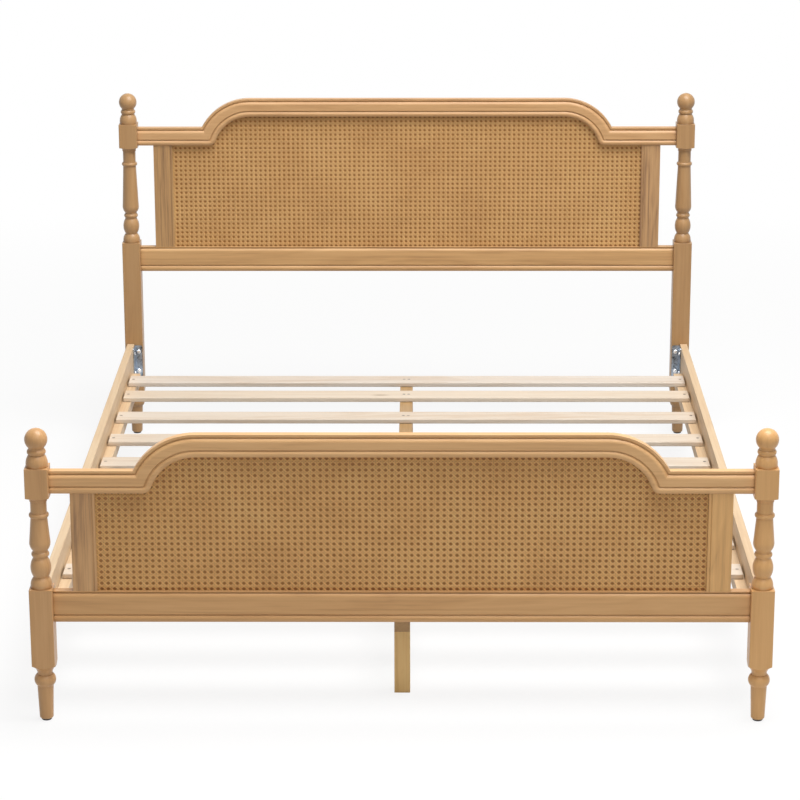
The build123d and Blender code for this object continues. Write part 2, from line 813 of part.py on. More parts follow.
def build_fasteners():
    """Every kind of bolt and screw, each kind in one group."""
    face_y = side_rail_reach - bracket_thickness
    bolt_x = rail_inner_x - bolt_from_rail
    head_x = rail_inner_x - bracket_thickness
    ledger_face = rail_inner_x - ledger_width
    corners = [(sign, end) for sign in sides.values() for end in boards.values()]
    bolts = [((s * bolt_x, e * face_y, z), (0, -e, 0)) for s, e in corners for z in bolt_heights()]
    rail_screws = [
        ((s * head_x, y, z), (-s, 0, 0)) for s in sides.values() for y, z in bracket_screw_places()
    ]
    ledger_screws = [
        ((s * ledger_face, y, ledger_mid_z()), (-s, 0, 0))
        for s in sides.values()
        for y in ledger_screw_places()
    ]
    deck_x = [-slat_end_screw_x(), -center_screw_spacing / 2, center_screw_spacing / 2, slat_end_screw_x()]
    deck_screws = [((x, y, slat_top), (0, 0, 1)) for y in slat_middles() for x in deck_x]
    bolt_sizes = (bolt_radius, bolt_length, bolt_head_radius, bolt_head_height)
    rail_sizes = (
        bracket_screw_radius,
        bracket_screw_length,
        bracket_screw_head_radius,
        bracket_screw_head_height,
    )
    ledger_sizes = (screw_radius, ledger_screw_length, screw_head_radius)
    deck_sizes = (screw_radius, slat_screw_length, screw_head_radius)
    kinds = (
        ("bracket_bolts", bolts, fastener_outline, bolt_sizes),
        ("bracket_screws", rail_screws, fastener_outline, rail_sizes),
        ("ledger_screws", ledger_screws, countersunk_outline, ledger_sizes),
        ("slat_screws", deck_screws, countersunk_outline, deck_sizes),
    )
    for label, places, outline, sizes in kinds:
        fastener = single_fastener(outline, sizes)
        with BuildPart() as group:
            with Locations([Plane(origin, z_dir=facing) for origin, facing in places]):
                add(fastener)
        finish(group, label)
    with BuildPart() as inserts:
        for sign, end in corners:
            for z in bolt_heights():
                y = end * (side_rail_reach + insert_depth + insert_length / 2)
                with Locations(Location((sign * bolt_x, y, z), (90, 0, 0))):
                    Cylinder(insert_radius, insert_length)
                    Cylinder(bolt_radius + fit_gap, insert_length, mode=Mode.SUBTRACT)
    finish(inserts, "threaded_inserts")


def build_slat(index):
    """One slat with its screw holes."""
    middle = slat_middles()[index]
    with BuildPart() as slat:
        with BuildSketch(Plane.YZ.offset(-slat_length / 2)):
            with Locations((middle, slat_top - slat_thickness / 2)):
                RectangleRounded(slat_width, slat_thickness, slat_round)
        extrude(amount=slat_length)
        inner = center_screw_spacing / 2
        with Locations(Plane.XY.offset(slat_top)):
            with Locations([(x, middle) for x in (-slat_end_screw_x(), -inner, inner, slat_end_screw_x())]):
                CounterSinkHole(screw_radius + fit_gap, screw_head_radius + fit_gap, None, 90)
    finish(slat, f"slat_{index + 1:02d}")


def leg_middles():
    """Y positions of the three centre legs."""
    front_end, back_end = beam_ends()
    front = front_end + leg_inset + leg_width / 2
    back = back_end - leg_inset - leg_width / 2
    return {"front": front, "middle": (front + back) / 2, "rear": back}


def beam_ends():
    """The beam runs from the front edge of the last slat to the back edge of the first."""
    middles = slat_middles()
    return middles[-1] - slat_width / 2, middles[0] + slat_width / 2


def build_beam_and_legs():
    """Centre beam, its three legs and the hanger bolts that join them."""
    front_end, back_end = beam_ends()
    with BuildPart() as beam:
        with BuildSketch(Plane.XZ.offset(-front_end)):
            with Locations((0, slat_bottom - beam_height / 2)):
                RectangleRounded(beam_width, beam_height, leg_edge_round)
        extrude(amount=front_end - back_end)
        inner = center_screw_spacing / 2
        with Locations(Plane.XY.offset(slat_bottom)):
            with Locations([(x, y) for x in (-inner, inner) for y in slat_middles()]):
                Hole(screw_radius + fit_gap, slat_screw_length - slat_thickness + dowel_end_gap)
        with BuildSketch(Plane.XY.offset(beam_bottom)):
            with Locations([(0, y) for y in leg_middles().values()]):
                Circle(hanger_radius + fit_gap)
        extrude(amount=hanger_length / 2 + hanger_end_gap, mode=Mode.SUBTRACT)
    finish(beam, "center_beam")
    for place, y in leg_middles().items():
        with BuildPart() as leg:
            with BuildSketch(Plane((0, y, 0))):
                RectangleRounded(leg_width, leg_width, leg_edge_round)
            extrude(amount=beam_bottom)
            with BuildSketch(Plane((0, y, beam_bottom))):
                Circle(hanger_radius + fit_gap)
            extrude(amount=-hanger_length / 2 - hanger_end_gap, mode=Mode.SUBTRACT)
        finish(leg, f"center_leg_{place}")
    with BuildPart() as hangers:
        with Locations([(0, y, beam_bottom) for y in leg_middles().values()]):
            Cylinder(hanger_radius, hanger_length)
    finish(hangers, "leg_hanger_bolts")


def build_glides():
    """Plastic glides nailed under the four posts."""
    places = [(s * half_x, e * half_y) for s in sides.values() for e in boards.values()]
    with BuildPart() as glides:
        with BuildSketch():
            with Locations(places):
                Circle(glide_radius)
        extrude(amount=glide_height)
        chamfer(glides.edges().group_by(Axis.Z)[0], length=1.0)
        with BuildSketch(Plane.XY.offset(glide_height)):
            with Locations(places):
                Circle(glide_pin_radius)
        extrude(amount=glide_pin_length)
    finish(glides, "post_glides")


os.makedirs("parts", exist_ok=True)
panel_spaces = {board_name: panel_space(board_name) for board_name in boards}
for board_name in boards:
    for side_name in sides:
        build_post(board_name, side_name)
        build_stile(board_name, side_name)
        build_bracket(board_name, side_name)
    build_top_rail(board_name)
    build_bottom_rail(board_name)
    build_panel(board_name)
    build_dowels(board_name)
for side_name in sides:
    build_side(side_name)
for slat_index in range(slat_count):
    build_slat(slat_index)
build_beam_and_legs()
build_fasteners()
build_glides()
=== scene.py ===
"""A queen-size bed frame with turned posts and cane panels, dressed for a studio picture.

Units are metres. X runs across the bed, +Y from the foot to the head, and the floor is Z = 0.
"""

import math
import random

import bpy
from mathutils import Matrix, Vector


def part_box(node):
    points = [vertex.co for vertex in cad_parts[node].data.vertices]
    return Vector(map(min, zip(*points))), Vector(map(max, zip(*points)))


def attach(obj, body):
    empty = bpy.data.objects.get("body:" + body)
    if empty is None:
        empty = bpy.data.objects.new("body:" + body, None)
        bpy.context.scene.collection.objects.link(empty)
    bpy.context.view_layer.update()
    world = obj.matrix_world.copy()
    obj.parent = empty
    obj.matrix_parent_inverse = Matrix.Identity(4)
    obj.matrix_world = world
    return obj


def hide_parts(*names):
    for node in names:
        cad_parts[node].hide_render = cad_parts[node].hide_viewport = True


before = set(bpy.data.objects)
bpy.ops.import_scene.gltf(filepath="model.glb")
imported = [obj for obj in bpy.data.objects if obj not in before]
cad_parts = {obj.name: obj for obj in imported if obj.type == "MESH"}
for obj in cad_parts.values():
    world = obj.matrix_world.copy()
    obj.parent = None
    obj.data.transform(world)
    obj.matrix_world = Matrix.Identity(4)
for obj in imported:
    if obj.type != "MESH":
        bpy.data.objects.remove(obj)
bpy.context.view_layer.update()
scene = bpy.context.scene
scene.view_settings.view_transform = "Standard"

# Camera: place in metres, angles in degrees, lens and sensor in millimetres
CAMERA_PLACE = (0.0468, -6.8730, 2.4789)
CAMERA_PITCH = 16.753         # below the horizon
CAMERA_YAW = -0.484
CAMERA_ROLL = -0.125
CAMERA_LENS = 130.61
CAMERA_SENSOR = 36.0
CAMERA_FAR = 100.0            # how far it sees

# Soft boxes: name, place, the point each looks at, side of the square, power in watts
SOFT_BOXES = (
    ("overhead", (0.9, -0.9, 5.2), (0.0, 0.0, 0.3), 3.4, 310.0),
    ("front", (1.5, -6.0, 4.5), (0.0, -0.5, 0.4), 2.4, 64.0),
)
WORLD_LIGHT = (1.0, 0.99, 0.975)
WORLD_STRENGTH = 0.17
WHITE = (1.0, 1.0, 1.0)

# Floor. What is seen of it turns from a pale matte surface to plain white away from the bed
FLOOR_REACH = 40.0
FLOOR_BOUNCE = (0.60, 0.60, 0.60)
FLOOR_PALE = (0.95, 0.95, 0.95)
FLOOR_NEAR, FLOOR_FAR = 1.6, 4.0          # distances from the middle of the bed
FLOOR_WHITE_NEAR, FLOOR_WHITE_FAR = 0.84, 1.0   # share of plain white there

# Woods, as linear RGB: light, middle and dark tone of each
RAIL_WOOD = ((0.700, 0.430, 0.205), (0.620, 0.360, 0.160), (0.450, 0.240, 0.100))
STILE_WOOD = ((0.650, 0.400, 0.190), (0.530, 0.310, 0.142), (0.270, 0.150, 0.078))
POST_WOOD = ((0.660, 0.400, 0.190), (0.590, 0.340, 0.150), (0.460, 0.250, 0.105))
SIDE_WOOD = ((0.780, 0.610, 0.410), (0.720, 0.530, 0.330), (0.600, 0.400, 0.230))
SLAT_WOOD = ((0.780, 0.705, 0.610), (0.720, 0.620, 0.505), (0.590, 0.445, 0.315))
BOARD_WOOD = ((0.560, 0.250, 0.080), (0.480, 0.200, 0.060), (0.360, 0.140, 0.040))
NO_TINT = (1.0, 1.0, 1.0)
TINTS = {
    "foot_stile_left": (1.15, 1.10, 1.05),
    "foot_stile_right": (1.42, 1.36, 1.12),
    "head_stile_left": (0.97, 0.96, 0.90),
    "head_stile_right": (0.94, 0.92, 0.92),
    "foot_bottom_rail": (1.10, 1.04, 0.93),
    "head_bottom_rail": (1.08, 1.10, 1.06),
    "foot_top_rail": (1.25, 1.25, 1.22),
    "head_top_rail": (1.04, 1.04, 1.06),
    "foot_post_left": (1.10, 1.06, 1.00),
    "foot_post_right": (1.28, 1.22, 1.04),
    "head_post_left": (0.84, 0.83, 0.80),
    "head_post_right": (0.82, 0.81, 0.78),
    "center_leg_front": (1.60, 1.85, 1.72),
    "center_beam": (0.80, 0.86, 0.86),
    "slat_01": (1.00, 1.02, 1.06),
    "slat_02": (1.00, 0.97, 0.92),
    "slat_04": (1.02, 1.02, 1.02),
    "foot_cane_panel": (1.06, 1.01, 0.89),
    "head_cane_panel": (0.93, 0.91, 0.84),
}

# Grain: how often each pattern repeats in a metre, along the grain and in the two ways across it
GRAIN_TURN = {
    "X": (0.0, 0.0, 0.0),
    "Y": (0.0, 0.0, math.radians(-90)),
    "Z": (0.0, math.radians(90), 0.0),
}
GRAIN_SHIFT = (1.37, 0.71, 0.43)          # per step of the seed
RING_SCALE = (0.9, 11.0, 11.0)
RING_COUNT = 7.0              # rings between the lowest and the highest value of their noise
STREAK_SCALE = (2.2, 210.0, 210.0)
PORE_SCALE = (28.0, 1100.0, 1100.0)
BROAD_SCALE = (0.8, 3.0, 3.0)
KNOT_SCALE = (3.2, 9.0, 9.0)
RING_SHARE, STREAK_SHARE, PORE_SHARE, BROAD_SHARE = 0.55, 0.75, 0.35, 0.60
GRAIN_LEVEL = 1.4             # brings the mean of the fine patterns to about the middle tone
SOFT_EDGE_RADIUS = 0.0012
EDGE_WEAR = 0.45
GROOVE_REACH = 0.007          # how near a surface has to be to another to take painted shade
# how dark the painted shade in grooves and corners goes
GROOVE_PAINTED_SHADE = 0.75

# Metals, as linear RGB, and how often the patterns of metal and plastic repeat in a metre
BRACKET_ZINC = (0.22, 0.26, 0.31)
BOLT_ZINC = (0.66, 0.68, 0.70)
SCREW_STEEL = (0.20, 0.17, 0.14)
FLAKE_SCALE = 160.0
CLOUD_SCALE = 55.0
PLASTIC_SCALE = 900.0

# Cane: pitch of the weave across and upwards, and a place where one hole has its middle
CANE_WEAVE = {
    "foot": {"pitch": (0.01383, 0.01276), "hole": (0.00804, 0.00693)},
    "head": {"pitch": (0.01304, 0.01264), "hole": (0.01054, 0.00457)},
}
CANE_TONES = ((0.940, 0.630, 0.290), (0.850, 0.525, 0.220), (0.680, 0.385, 0.150))
# Lighter and darker copies of one cane, one for each layer: painted light on the falling strands,
# painted shade on the upright and across ones
CANE_LAYER_PAINTED_LIGHT = {"upright": 0.92, "across": 0.95, "rising": 1.00, "falling": 1.09}
CANE_DIRECTIONS = {"upright": 90.0, "across": 0.0, "rising": 45.0, "falling": -45.0}   # degrees
CANE_STRAND_SCALE = (6.0, 1.0, 230.0)     # tones along a strand and from strand to strand
CANE_FIBRE_SCALE = (60.0, 1.0, 3200.0)
CANE_PATCH_SCALE = 9.0
CANE_SEEDS = {"foot": 11, "head": 12}
CANE_HALF_PAIR = 0.113        # half the distance in a pair of strands, as a share of the pitch
CANE_WIDTH = 0.0022
CANE_DIAGONAL_WIDTH = 0.0026
CANE_LOW = 0.0005             # height of a strand's edges above the board where it passes under
CANE_HIGH = 0.0014            # and where it passes over
CANE_CROWN = 0.0004           # from a strand's edges up to its ridge
CANE_STRAY = 0.0002           # how far a strand may lie off its place
CANE_THIN, CANE_BROAD = 0.93, 1.07        # narrowest and broadest strand
# Lines of the weave, counted in pitches, enough to cover the larger panel
CANE_FIRST_PAIR = 50          # pitches from the given hole to the first pair on the left
CANE_PAIRS = range(0, 106)
CANE_ROWS = range(-1, 36)
CANE_RISING = range(-110, 40)
CANE_FALLING = range(-2, 145)
CANE_STEPS = range(-4, 120)

# Openings for the cane
PANEL_HALF_WIDTH = 0.651      # visible part between the stiles
PANEL_HOLD = 0.0072           # how far the strands reach into the groove round the panel
PANEL_EDGES = {"foot": (0.2978, 0.5185), "head": (0.5468, 0.8358)}   # lower edge, low upper edge
ARCH_CENTER_X = 0.435
ARCH_CENTER_ABOVE = -0.0201   # height of the arch's centre above the low upper edge
ARCH_INNER_RADIUS = 0.1005
ARCH_TURN_X = 0.54863         # centre of the small rounding beside the raised middle
ARCH_TURN_RADIUS = 0.020


# Shader nodes

def node_of(tree, kind, **values):
    """Add a shader node and set the inputs and properties that are given by name."""
    node = tree.nodes.new(kind)
    for name, value in values.items():
        if name in node.inputs:
            node.inputs[name].default_value = value
        else:
            setattr(node, name, value)
    return node


def mapped(tree, vector, **values):
    """A vector after a Mapping node."""
    node = node_of(tree, "ShaderNodeMapping", **values)
    tree.links.new(vector, node.inputs["Vector"])
    return node.outputs["Vector"]


def noise(tree, vector, **values):
    """The value of a noise texture at a vector."""
    node = node_of(tree, "ShaderNodeTexNoise", **values)
    tree.links.new(vector, node.inputs["Vector"])
    return node.outputs["Fac"]


def cells(tree, vector, **values):
    """The distance from the nearest point of a Voronoi texture."""
    node = node_of(tree, "ShaderNodeTexVoronoi", **values)
    tree.links.new(vector, node.inputs["Vector"])
    return node.outputs["Distance"]


def with_number(tree, operation, value, number):
    """A math node between an output and a number."""
    node = node_of(tree, "ShaderNodeMath", operation=operation)
    tree.links.new(value, node.inputs[0])
    node.inputs[1].default_value = number
    return node.outputs["Value"]


def weighted(tree, value, weight, base):
    """An output times a weight, plus a number or another output."""
    node = node_of(tree, "ShaderNodeMath", operation="MULTIPLY_ADD")
    tree.links.new(value, node.inputs[0])
    node.inputs[1].default_value = weight
    if isinstance(base, float):
        node.inputs[2].default_value = base
    else:
        tree.links.new(base, node.inputs[2])
    return node.outputs["Value"]


def ranged(tree, value, start, end, low, high):
    """Values from start to end become values from low to high, and none goes past them."""
    node = tree.nodes.new("ShaderNodeMapRange")
    names = ("From Min", "From Max", "To Min", "To Max")
    for name, number in zip(names, (start, end, low, high)):
        node.inputs[name].default_value = number
    tree.links.new(value, node.inputs["Value"])
    return node.outputs["Result"]


def toned(tree, value, stops):
    """A colour ramp through (position, linear colour) stops."""
    ramp = tree.nodes.new("ShaderNodeValToRGB")
    elements = ramp.color_ramp.elements
    while len(elements) < len(stops):
        elements.new(0.5)
    for element, (position, color) in zip(elements, stops):
        element.position = position
        element.color = (*color, 1.0)
    tree.links.new(value, ramp.inputs["Fac"])
    return ramp.outputs["Color"]


def blended(tree, factor, color, other):
    """A colour output that gives way to a fixed colour as the factor grows."""
    node = node_of(tree, "ShaderNodeMix", data_type="RGBA", blend_type="MIX")
    tree.links.new(factor, node.inputs["Factor"])
    tree.links.new(color, node.inputs["A"])
    node.inputs["B"].default_value = (*other, 1.0)
    return node.outputs["Result"]


def bumped(tree, height, strength, distance):
    """A bump node over a height."""
    node = node_of(tree, "ShaderNodeBump", Strength=strength, Distance=distance)
    tree.links.new(height, node.inputs["Height"])
    return node


def times(color, factor):
    """A colour times a number or times another colour, not brighter than 1."""
    factors = factor if isinstance(factor, tuple) else (factor, factor, factor)
    return tuple(min(1.0, part * share) for part, share in zip(color, factors))


def new_material(name):
    """A material with an empty Principled shader, and its object coordinates."""
    material = bpy.data.materials.new(name)
    material.use_nodes = True
    tree = material.node_tree
    tree.nodes.clear()
    output = tree.nodes.new("ShaderNodeOutputMaterial")
    shader = tree.nodes.new("ShaderNodeBsdfPrincipled")
    tree.links.new(shader.outputs["BSDF"], output.inputs["Surface"])
    place = tree.nodes.new("ShaderNodeTexCoord").outputs["Object"]
    return material, tree, shader, place


def connect(tree, shader, color, roughness, relief):
    """Lead a colour, a roughness and a bump node to the shader."""
    tree.links.new(color, shader.inputs["Base Color"])
    tree.links.new(roughness, shader.inputs["Roughness"])
    tree.links.new(relief.outputs["Normal"], shader.inputs["Normal"])


# Materials

def wood(name, grain, seed, tones, tint, roughness=0.40, knots=0.0, contrast=1.0, bump=0.25):
    """Wood whose grain runs along an axis: long streaks, growth rings, fine pores and knots."""
    light, middle, dark = (times(tone, tint) for tone in tones)
    material, tree, shader, place = new_material(name)
    turned = mapped(tree, place, Rotation=GRAIN_TURN[grain])
    place = mapped(tree, turned, Location=tuple(seed * step for step in GRAIN_SHIFT))

    growth = noise(
        tree, mapped(tree, place, Scale=RING_SCALE),
        Scale=1.0, Detail=4.0, Roughness=0.55, Distortion=0.6,
    )
    rings = with_number(tree, "PINGPONG", with_number(tree, "MULTIPLY", growth, RING_COUNT), 0.5)
    streaks = noise(
        tree, mapped(tree, place, Scale=STREAK_SCALE), Scale=1.0, Detail=3.0, Roughness=0.6
    )
    pores = noise(
        tree, mapped(tree, place, Scale=PORE_SCALE), Scale=1.0, Detail=2.0, Roughness=0.5
    )
    broad = noise(tree, mapped(tree, place, Scale=BROAD_SCALE), Scale=1.0, Detail=1.0)
    total = 0.5 - 0.5 * (GRAIN_LEVEL * contrast + BROAD_SHARE)
    for value, weight in (
        (rings, RING_SHARE * contrast),
        (streaks, STREAK_SHARE * contrast),
        (pores, PORE_SHARE * contrast),
        (broad, BROAD_SHARE),
    ):
        total = weighted(tree, value, weight, total)
    color = toned(tree, total, [(0.12, dark), (0.48, middle), (0.86, light)])

    if knots:
        spots = cells(tree, mapped(tree, place, Scale=KNOT_SCALE), Scale=1.0, Randomness=1.0)
        core = ranged(tree, spots, 0.05 + 0.10 * knots, 0.02, 0.0, 0.55)
        color = blended(tree, core, color, times(dark, 0.55))

    # Worn edges, where the softened normal leaves the flat one
    soft_edge = node_of(tree, "ShaderNodeBevel", samples=3, Radius=SOFT_EDGE_RADIUS)
    flat = tree.nodes.new("ShaderNodeNewGeometry")
    likeness = node_of(tree, "ShaderNodeVectorMath", operation="DOT_PRODUCT")
    tree.links.new(soft_edge.outputs["Normal"], likeness.inputs[0])
    tree.links.new(flat.outputs["True Normal"], likeness.inputs[1])
    edge = ranged(tree, likeness.outputs["Value"], 0.995, 0.80, 0.0, EDGE_WEAR)
    color = blended(tree, edge, color, times(light, 1.18))

    # Painted shade: the colour turns darker in grooves and corners, where other surfaces are near
    open_sky = node_of(tree, "ShaderNodeAmbientOcclusion", samples=4, Distance=GROOVE_REACH)
    painted_shade = ranged(tree, open_sky.outputs["AO"], 0.85, 0.15, 0.0, GROOVE_PAINTED_SHADE)
    color = blended(tree, painted_shade, color, times(dark, 0.42))

    gloss = ranged(tree, streaks, 0.0, 1.0, roughness + 0.10, roughness - 0.06)
    relief = bumped(tree, weighted(tree, pores, 0.5, streaks), bump, 0.0006)
    tree.links.new(soft_edge.outputs["Normal"], relief.inputs["Normal"])
    connect(tree, shader, color, gloss, relief)
    return material


def cane(name, direction, seed, tint):
    """Cane skin: a satin strip with fine lines along it, in tones that change between strands."""
    light, middle, dark = (times(tone, tint) for tone in CANE_TONES)
    material, tree, shader, place = new_material(name)
    turned = mapped(
        tree, place,
        Location=(seed * 0.37, 0.0, seed * 0.21), Rotation=(0.0, math.radians(direction), 0.0),
    )
    strands = noise(
        tree, mapped(tree, turned, Scale=CANE_STRAND_SCALE), Scale=1.0, Detail=2.0, Roughness=0.6
    )
    fibres = noise(tree, mapped(tree, turned, Scale=CANE_FIBRE_SCALE), Scale=1.0, Detail=2.0)
    patches = noise(tree, place, Scale=CANE_PATCH_SCALE, Detail=2.0)
    total = -0.30
    for value, weight in ((strands, 0.8), (fibres, 0.35), (patches, 0.45)):
        total = weighted(tree, value, weight, total)
    color = toned(tree, total, [(0.25, dark), (0.50, middle), (0.78, light)])
    gloss = ranged(tree, fibres, 0.0, 1.0, 0.50, 0.36)
    connect(tree, shader, color, gloss, bumped(tree, fibres, 0.2, 0.0002))
    return material


def plated_steel(name, seed, tone, roughness=0.30):
    """Plated or plain steel: mottled crystals, lighter and darker than its tone."""
    material, tree, shader, place = new_material(name)
    place = mapped(tree, place, Location=(seed, seed * 0.3, seed * 0.6))
    flakes = cells(tree, place, Scale=FLAKE_SCALE)
    clouds = noise(tree, place, Scale=CLOUD_SCALE, Detail=4.0)
    mottle = weighted(tree, flakes, 0.45, clouds)
    color = toned(tree, mottle, [(0.42, times(tone, 0.30)), (0.60, tone), (0.80, times(tone, 2.0))])
    shader.inputs["Metallic"].default_value = 0.9
    gloss = ranged(tree, clouds, 0.0, 1.0, roughness - 0.1, roughness + 0.15)
    connect(tree, shader, color, gloss, bumped(tree, clouds, 0.15, 0.0005))
    return material


def black_plastic(name):
    """Moulded plastic with a fine grain."""
    material, tree, shader, place = new_material(name)
    grain = noise(tree, place, Scale=PLASTIC_SCALE, Detail=2.0)
    color = toned(tree, grain, [(0.3, (0.012, 0.012, 0.013)), (0.8, (0.030, 0.030, 0.032))])
    gloss = ranged(tree, grain, 0.0, 1.0, 0.42, 0.58)
    connect(tree, shader, color, gloss, bumped(tree, grain, 0.2, 0.0003))
    return material


def wood_for(node, seed):
    """The wood of one piece, or None if the piece isn't made of wood."""
    tint = TINTS.get(node, NO_TINT)
    if "_post_" in node:
        return wood(node, "Z", seed, POST_WOOD, tint, contrast=0.7, bump=0.15, roughness=0.34)
    if node.endswith(("_rail", "_dowels")):
        return wood(node, "X", seed, RAIL_WOOD, tint, contrast=0.8)
    if "_stile_" in node:
        contrast = 0.7 if node == "foot_stile_right" else 1.3
        return wood(node, "Z", seed, STILE_WOOD, tint, contrast=contrast, bump=0.35)
    if node.endswith(("_backing_board", "_cane_panel")):
        return wood(node, "X", seed, BOARD_WOOD, tint, contrast=0.6, roughness=0.6)
    if node.startswith(("side_rail", "ledger_l", "ledger_r")):
        return wood(node, "Y", seed, SIDE_WOOD, tint, contrast=0.7, roughness=0.5)
    if node.startswith("slat_") and node != "slat_screws":
        return wood(node, "X", seed, SLAT_WOOD, tint, contrast=0.8, roughness=0.6, knots=0.5)
    if node.startswith(("center_beam", "center_leg")):
        grain = "Y" if node == "center_beam" else "Z"
        return wood(node, grain, seed, POST_WOOD, tint, contrast=0.8)
    return None


def paint_pieces():
    """Give each CAD piece one material."""
    bracket_metal = plated_steel("zinc_plate", 2.0, BRACKET_ZINC)
    bolt_metal = plated_steel("bolt_zinc", 3.0, BOLT_ZINC)
    screw_metal = plated_steel("screw_steel", 5.0, SCREW_STEEL, roughness=0.35)
    plastic = black_plastic("glide_plastic")
    for seed, node in enumerate(sorted(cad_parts), start=1):
        material = wood_for(node, seed)
        if material is None:
            if node == "post_glides":
                material = plastic
            elif node in ("bracket_bolts", "bracket_screws"):
                material = bolt_metal
            elif node.startswith("bracket_"):
                material = bracket_metal
            else:
                material = screw_metal
        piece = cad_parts[node]
        piece.data.materials.clear()
        piece.data.materials.append(material)


# Cane

def panel_top(x, low_edge, hold):
    """Height of the upper edge of a panel at x, with the part that the groove hides."""
    x = abs(x)
    arch_z = low_edge + ARCH_CENTER_ABOVE
    reach = ARCH_INNER_RADIUS + hold
    turn = ARCH_TURN_RADIUS - hold
    share = reach / (reach + turn)
    if x <= ARCH_CENTER_X:
        return arch_z + reach
    if x <= ARCH_CENTER_X + (ARCH_TURN_X - ARCH_CENTER_X) * share:
        return arch_z + math.sqrt(reach ** 2 - (x - ARCH_CENTER_X) ** 2)
    if x <= ARCH_TURN_X:
        return low_edge + ARCH_TURN_RADIUS - math.sqrt(turn ** 2 - (ARCH_TURN_X - x) ** 2)
    return low_edge + hold


def strand_points(family, line):
    """Crossings of one strand, in pitches from the first pair: (across, up, passes over)."""
    half = CANE_HALF_PAIR
    places = (-half, half, 0.5 - half, 0.5 + half)
    points = []
    if family in ("upright", "across"):
        middle, side = line
        fixed = middle + side * half
        for step in CANE_STEPS:
            for place in places:
                first = place in (-half, 0.5 - half)
                if family == "upright":
                    points.append((fixed, step + place, first != (side > 0)))
                else:
                    points.append((step + place, fixed, first == (side > 0)))
        return points
    slope = 1 if family == "rising" else -1
    for step in CANE_STEPS:
        for place in places:
            across = step + place
            over = (family == "falling") == (place in (-half, half))
            points.append((across, line + 0.5 + slope * across, over))
    return points


def add_strand(vertices, faces, path, width):
    """One cane strip along a path of (x, y, z): a flat back and a low ridge in front."""
    start = len(vertices)
    last = len(path) - 1
    for index, (x, y, z) in enumerate(path):
        before = path[max(index - 1, 0)]
        after = path[min(index + 1, last)]
        run_x, run_z = after[0] - before[0], after[2] - before[2]
        length = math.hypot(run_x, run_z)
        side_x, side_z = -run_z / length * width / 2, run_x / length * width / 2
        vertices.append((x + side_x, y, z + side_z))
        vertices.append((x, y - CANE_CROWN, z))
        vertices.append((x - side_x, y, z - side_z))
    for index in range(last):
        a = start + 3 * index
        for one, two in ((0, 1), (1, 2), (2, 0)):
            faces.append((a + one, a + 3 + one, a + 3 + two, a + two))
    faces.append((start, start + 1, start + 2))
    end = start + 3 * last
    faces.append((end + 2, end + 1, end))


def weave(board, family, lines, width, chance):
    """All the strands of a panel that run one way, as one piece."""
    lower_edge, low_edge = PANEL_EDGES[board]
    bottom = lower_edge - PANEL_HOLD
    side_edge = PANEL_HALF_WIDTH + PANEL_HOLD
    pitch_x, pitch_z = CANE_WEAVE[board]["pitch"]
    hole_x, hole_z = CANE_WEAVE[board]["hole"]
    first_x = hole_x - pitch_x * (0.5 + CANE_FIRST_PAIR)
    first_z = hole_z - pitch_z * 0.5 + pitch_z * math.floor((bottom - hole_z) / pitch_z)
    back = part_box(f"{board}_cane_panel")[1][1]
    vertices, faces = [], []
    for line in lines:
        shift_x = chance.uniform(-CANE_STRAY, CANE_STRAY)
        shift_z = chance.uniform(-CANE_STRAY, CANE_STRAY)
        strand_width = width * chance.uniform(CANE_THIN, CANE_BROAD)
        runs = [[]]
        for across, up, over in strand_points(family, line):
            x = first_x + across * pitch_x + shift_x
            z = first_z + up * pitch_z + shift_z
            if abs(x) < side_edge and bottom < z < panel_top(x, low_edge, PANEL_HOLD):
                runs[-1].append((x, back - (CANE_HIGH if over else CANE_LOW), z))
            elif runs[-1]:
                runs.append([])
        for path in runs:
            if len(path) > 1:
                add_strand(vertices, faces, path, strand_width)
    mesh = bpy.data.meshes.new(f"{board}_cane_{family}")
    mesh.from_pydata(vertices, [], faces)
    mesh.polygons.foreach_set("use_smooth", [True] * len(faces))
    mesh.update()
    piece = bpy.data.objects.new(f"{board}_cane_{family}", mesh)
    scene.collection.objects.link(piece)
    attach(piece, "root")
    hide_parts(f"{board}_cane_panel")
    return piece


def add_cane(board):
    """The woven cane of one board, in four layers that pass over and under each other."""
    seed = CANE_SEEDS[board]
    chance = random.Random(seed)
    layers = (
        ("upright", [(middle, side) for middle in CANE_PAIRS for side in (-1, 1)], CANE_WIDTH),
        ("across", [(middle, side) for middle in CANE_ROWS for side in (-1, 1)], CANE_WIDTH),
        ("rising", CANE_RISING, CANE_DIAGONAL_WIDTH),
        ("falling", CANE_FALLING, CANE_DIAGONAL_WIDTH),
    )
    for family, lines, width in layers:
        piece = weave(board, family, lines, width, chance)
        # each layer's painted light and shade, times the panel's tint
        tint = tuple(CANE_LAYER_PAINTED_LIGHT[family] * share for share in TINTS[f"{board}_cane_panel"])
        skin = cane(f"{board}_cane_{family}", CANE_DIRECTIONS[family], seed, tint)
        piece.data.materials.append(skin)


# Studio

def seen_or_mirrored(tree):
    """1 where the camera sees a surface directly, in a mirror or through glass, and 0 elsewhere."""
    rays = tree.nodes.new("ShaderNodeLightPath")
    value = rays.outputs["Is Camera Ray"]
    for name in ("Is Glossy Ray", "Is Transmission Ray"):
        larger = node_of(tree, "ShaderNodeMath", operation="MAXIMUM")
        tree.links.new(value, larger.inputs[0])
        tree.links.new(rays.outputs[name], larger.inputs[1])
        value = larger.outputs["Value"]
    return value


def either(tree, factor, first, second):
    """The first shader where the factor is 0 and the second where it is 1."""
    mix = tree.nodes.new("ShaderNodeMixShader")
    tree.links.new(factor, mix.inputs["Fac"])
    tree.links.new(first.outputs[0], mix.inputs[1])
    tree.links.new(second.outputs[0], mix.inputs[2])
    return mix


